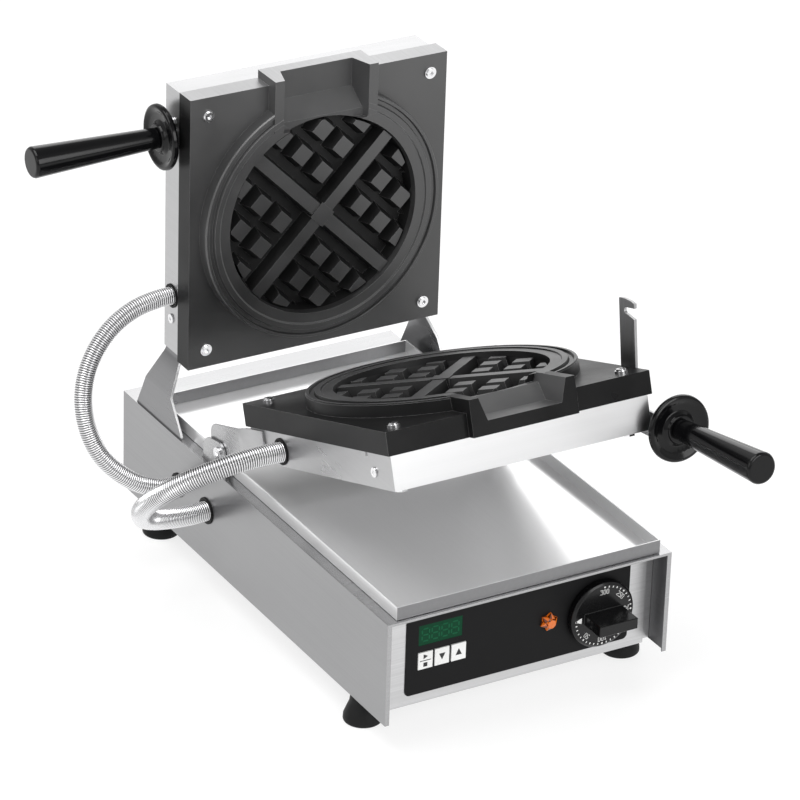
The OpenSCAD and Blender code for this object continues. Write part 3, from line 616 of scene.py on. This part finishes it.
TICKS, TICK_ANGLE, TOP_FIGURE = 31, 9, 300
marks = []
for i in range(TICKS):
    ang = math.radians(90 - TICK_ANGLE * i)
    big = i % 5 == 0
    r, s = KR - 0.0042, (0.00085 if big else 0.0005)
    cx, cz = r * math.cos(ang), r * math.sin(ang)
    if big:
        pts = [(cx + s * 1.1 * math.cos(t * math.pi / 6), cz + s * 1.1 * math.sin(t * math.pi / 6))
               for t in range(12)]
    else:
        e, f = Vector((math.cos(ang), math.sin(ang))), Vector((-math.sin(ang), math.cos(ang)))
        c = Vector((cx, cz))
        pts = [c + e * 0.0009 + f * s, c + e * 0.0009 - f * s, c - e * 0.0009 - f * s, c - e * 0.0009 + f * s]
    marks.append(flat_shape("mark", pts, on_dial, M["print_white"], "dial"))
    if big and i <= 25:
        turn = Matrix.Rotation(ang - math.pi / 2, 2)
        cn = Vector((math.cos(ang), math.sin(ang))) * (KR - 0.0090)
        for q in figure_strokes(str(TOP_FIGURE - 10 * i), 0.0043, 0.00055):
            marks.append(flat_shape("figure", [cn + turn @ v for v in q], on_dial, M["print_white"], "dial"))
tri = [(-KR + 0.0026, 0), (-KR + 0.0100, 0.0029), (-KR + 0.0100, -0.0029)]
marks.append(flat_shape("pointer", tri, on_dial, M["print_white"], "dial"))
join(marks, "dial_scale", "dial")

for node, body in (("start_key", "start_button"), ("down_key", "down_button"), ("up_key", "up_button")):
    lo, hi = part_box(node)
    cx, cz, fy = (lo.x + hi.x) / 2, (lo.z + hi.z) / 2, lo.y

    def on_key(a, c, h):
        return (cx + a, fy + PRINT * 0.5 - h, cz + c)

    if node == "up_key":
        shapes = [[(-0.0033, -0.0031), (0.0033, -0.0031), (0, 0.0036)]]
    elif node == "down_key":
        shapes = [[(-0.0033, 0.0031), (0, -0.0036), (0.0033, 0.0031)]]
    else:
        shapes = [[(-0.0021, 0.0017), (0.0026, 0.0041), (-0.0021, 0.0065)],
                  [(-0.0058, -0.0004), (0.0058, -0.0004), (0.0058, 0.0004), (-0.0058, 0.0004)],
                  [(-0.0021, -0.0063), (0.0021, -0.0063), (0.0021, -0.0021), (-0.0021, -0.0021)]]
    join([flat_shape("sym", sh, on_key, M["print_black"], body) for sh in shapes],
         node + "_symbol", body)

SEGMENTS = ((-1, -1, 1, -1), (-1, 0, 1, 0), (-1, 1, 1, 1), (-1, -1, -1, 0), (1, -1, 1, 0),
            (-1, 0, -1, 1), (1, 0, 1, 1))
lo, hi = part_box("display_window")
segs = []
seg_w, seg_h, th = 0.0075, 0.0125, 0.0013
for i in range(4):
    cx = lo.x + (hi.x - lo.x) * (0.16 + 0.225 * i)
    cz = (lo.z + hi.z) / 2
    for x0, z0, x1, z1 in SEGMENTS:
        a = Vector((cx + x0 * seg_w / 2, cz + z0 * seg_h / 2))
        c = Vector((cx + x1 * seg_w / 2, cz + z1 * seg_h / 2))
        d = (c - a).normalized()
        a, c = a + d * 0.0009, c - d * 0.0009
        s = Vector((-d.y, d.x)) * th / 2
        pts = [a, a + d * th / 2 + s, c - d * th / 2 + s, c, c - d * th / 2 - s, a + d * th / 2 - s]
        segs.append(flat_shape("seg", pts, lambda p, q, h: (p, lo.y + 0.00005 - h, q), M["segment"], "base"))
join(segs, "display_digits", "base")

# Faceted jewel lamp: a star of kite facets round a flat table, every other facet painted a darker amber as
# painted shade
lo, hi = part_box("indicator_lamp")
LX, LZ, LR = (lo.x + hi.x) / 2, (lo.z + hi.z) / 2, (hi.x - lo.x) / 2
front, n = lo.y, 6
rings = [(LR * 0.96, LR * 0.70, front + 0.0078), (LR * 0.98, LR * 0.66, front + 0.0058),
         (LR * 0.46, LR * 0.60, front + 0.0022), (LR * 0.44, LR * 0.46, front + 0.0003)]
verts, faces = [], []
for r1, r2, y in rings:
    for k in range(2 * n):
        a = math.pi * k / n + 0.3
        r = r1 if k % 2 == 0 else r2
        verts.append((LX + r * math.cos(a), y, LZ + r * math.sin(a)))
for j in range(3):
    for k in range(2 * n):
        a, c = j * 2 * n + k, j * 2 * n + (k + 1) % (2 * n)
        if k % 2:
            faces += [(a, c, a + 2 * n), (c, c + 2 * n, a + 2 * n)]
        else:
            faces += [(a, c, c + 2 * n), (a, c + 2 * n, a + 2 * n)]
faces += [tuple(range(3 * 2 * n, 4 * 2 * n)), tuple(reversed(range(2 * n)))]
jewel = obj_from("lamp_jewel", verts, faces, M["amber"], "base")
outward(jewel)
jewel.data.materials.append(amber_facet_shade)
for i, p in enumerate(jewel.data.polygons):
    p.material_index = 1 if i < 6 * 2 * n and (i // 2 + i // (4 * n)) % 2 else 0
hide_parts("indicator_lamp")

# ---------------------------------------------------------------- floor and light
bpy.ops.mesh.primitive_plane_add(size=30, location=(0, 4, -0.0002))
floor = bpy.context.object
floor.name = "floor"
fm, nt, b = new_mat("floor_white", (0.30, 0.30, 0.30), 0.0, 0.9, spec=0.05)
b.inputs["Emission Color"].default_value = (1, 1, 1, 1)
b.inputs["Emission Strength"].default_value = 0.74
floor.data.materials.append(fm)


def area(name, loc, target, size, power, size_y=None):
    ld = bpy.data.lights.new(name, "AREA")
    ld.shape = "RECTANGLE"
    ld.size = size
    ld.size_y = size_y or size
    ld.energy = power
    o = bpy.data.objects.new(name, ld)
    scene.collection.objects.link(o)
    o.location = loc
    o.rotation_euler = (Vector(target) - Vector(loc)).to_track_quat("-Z", "Y").to_euler()
    return o


area("top", (-0.8, 0.3, 2.6), (0, 0, 0.2), 1.9, 46)
area("front", (0.6, -2.6, 1.5), (0, -0.1, 0.2), 1.6, 30)
area("left", (-2.4, -0.6, 1.3), (0, 0, 0.25), 1.2, 7)
area("back", (2.0, 2.6, 1.6), (0.1, 0, 0.15), 2.4, 26)

world = bpy.data.worlds.new("studio")
scene.world = world
world.use_nodes = True
wn = world.node_tree
bg = wn.nodes["Background"]
tc = wn.nodes.new("ShaderNodeTexCoord")
sep = wn.nodes.new("ShaderNodeSeparateXYZ")
ramp = wn.nodes.new("ShaderNodeValToRGB")
wn.links.new(tc.outputs["Generated"], sep.inputs[0])
wn.links.new(sep.outputs["Z"], ramp.inputs["Fac"])
ramp.color_ramp.elements[0].position = 0.0
ramp.color_ramp.elements[0].color = (0.62, 0.62, 0.62, 1)
ramp.color_ramp.elements[1].position = 0.45
ramp.color_ramp.elements[1].color = (1.0, 1.0, 1.0, 1)
zenith = ramp.color_ramp.elements.new(0.85)
zenith.color = (0.42, 0.42, 0.42, 1)
wn.links.new(ramp.outputs["Color"], bg.inputs["Color"])
bg.inputs["Strength"].default_value = 0.75
scene.view_settings.view_transform = "Standard"
